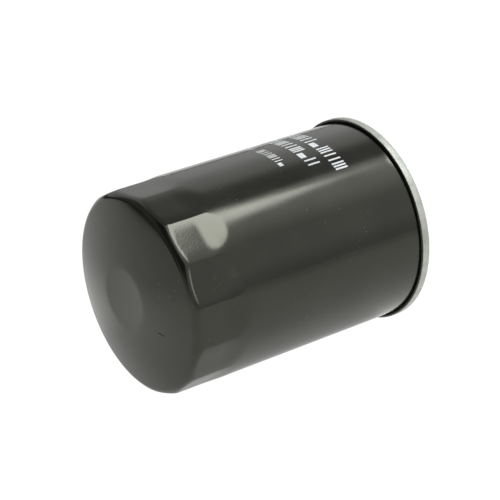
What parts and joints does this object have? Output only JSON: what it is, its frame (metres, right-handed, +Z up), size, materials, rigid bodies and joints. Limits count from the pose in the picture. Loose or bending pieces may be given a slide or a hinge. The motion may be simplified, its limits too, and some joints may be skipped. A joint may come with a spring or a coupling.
{
  "type": "spin-on oil filter",
  "caption": "Spin-on engine oil filter: fluted black steel can, rolled seam, threaded base plate with inlet holes, gasket, drain-back valve, pleated element and bypass valve.",
  "frame": {"origin": "on the thread axis, at the start of the full thread in the base plate", "axes": "+X along the thread axis, out of the mounting face; the domed end points to -X; +Z up as the filter lies on its side"},
  "size_m": [0.1102, 0.0788, 0.0788],
  "materials": {
    "can_paint": "gloss black paint over deep-drawn steel",
    "zinc_sheet": "bright zinc plate",
    "adhesive": "cured sealing compound",
    "black_rubber": "matt black nitrile rubber",
    "plate_steel": "oiled pressed steel",
    "red_rubber": "brick-red silicone rubber",
    "cap_steel": "bare tinned steel",
    "paper": "resin-treated pleated paper",
    "spring_steel": "dark drawn spring wire"
  },
  "bodies": {
    "filter": {"can": "can_paint", "seaming_lid": "zinc_sheet", "seam_sealant": "adhesive", "sealing_gasket": "black_rubber", "base_plate": "plate_steel", "anti_drain_collar": "red_rubber", "lower_end_cap": "cap_steel", "lower_adhesive": "adhesive", "centre_tube": "cap_steel", "filter_paper": "paper", "pleat_clip": "cap_steel", "upper_adhesive": "adhesive", "upper_end_cap": "cap_steel", "bypass_seat": "cap_steel", "bypass_cage": "cap_steel", "bypass_spring": "spring_steel", "spring_plate": "zinc_sheet", "load_spring": "spring_steel"},
    "bypass_valve": {"bypass_poppet": "zinc_sheet", "bypass_seal": "black_rubber"},
    "drain_flap": {"anti_drain_lip": "red_rubber"}
  },
  "joints": [
    {"name": "bypass_slide", "type": "slide", "parent": "filter", "child": "bypass_valve", "axis": [1, 0, 0], "range_m": [0, 0.004], "stiffness_N_per_m": 2200, "springref_m": -0.006, "deforming": ["bypass_spring"]},
    {"name": "drain_flap_lift", "type": "slide", "parent": "filter", "child": "drain_flap", "axis": [-1, 0, 0], "range_m": [0, 0.002], "stiffness_N_per_m": 400, "springref_m": -0.0005}
  ]
}
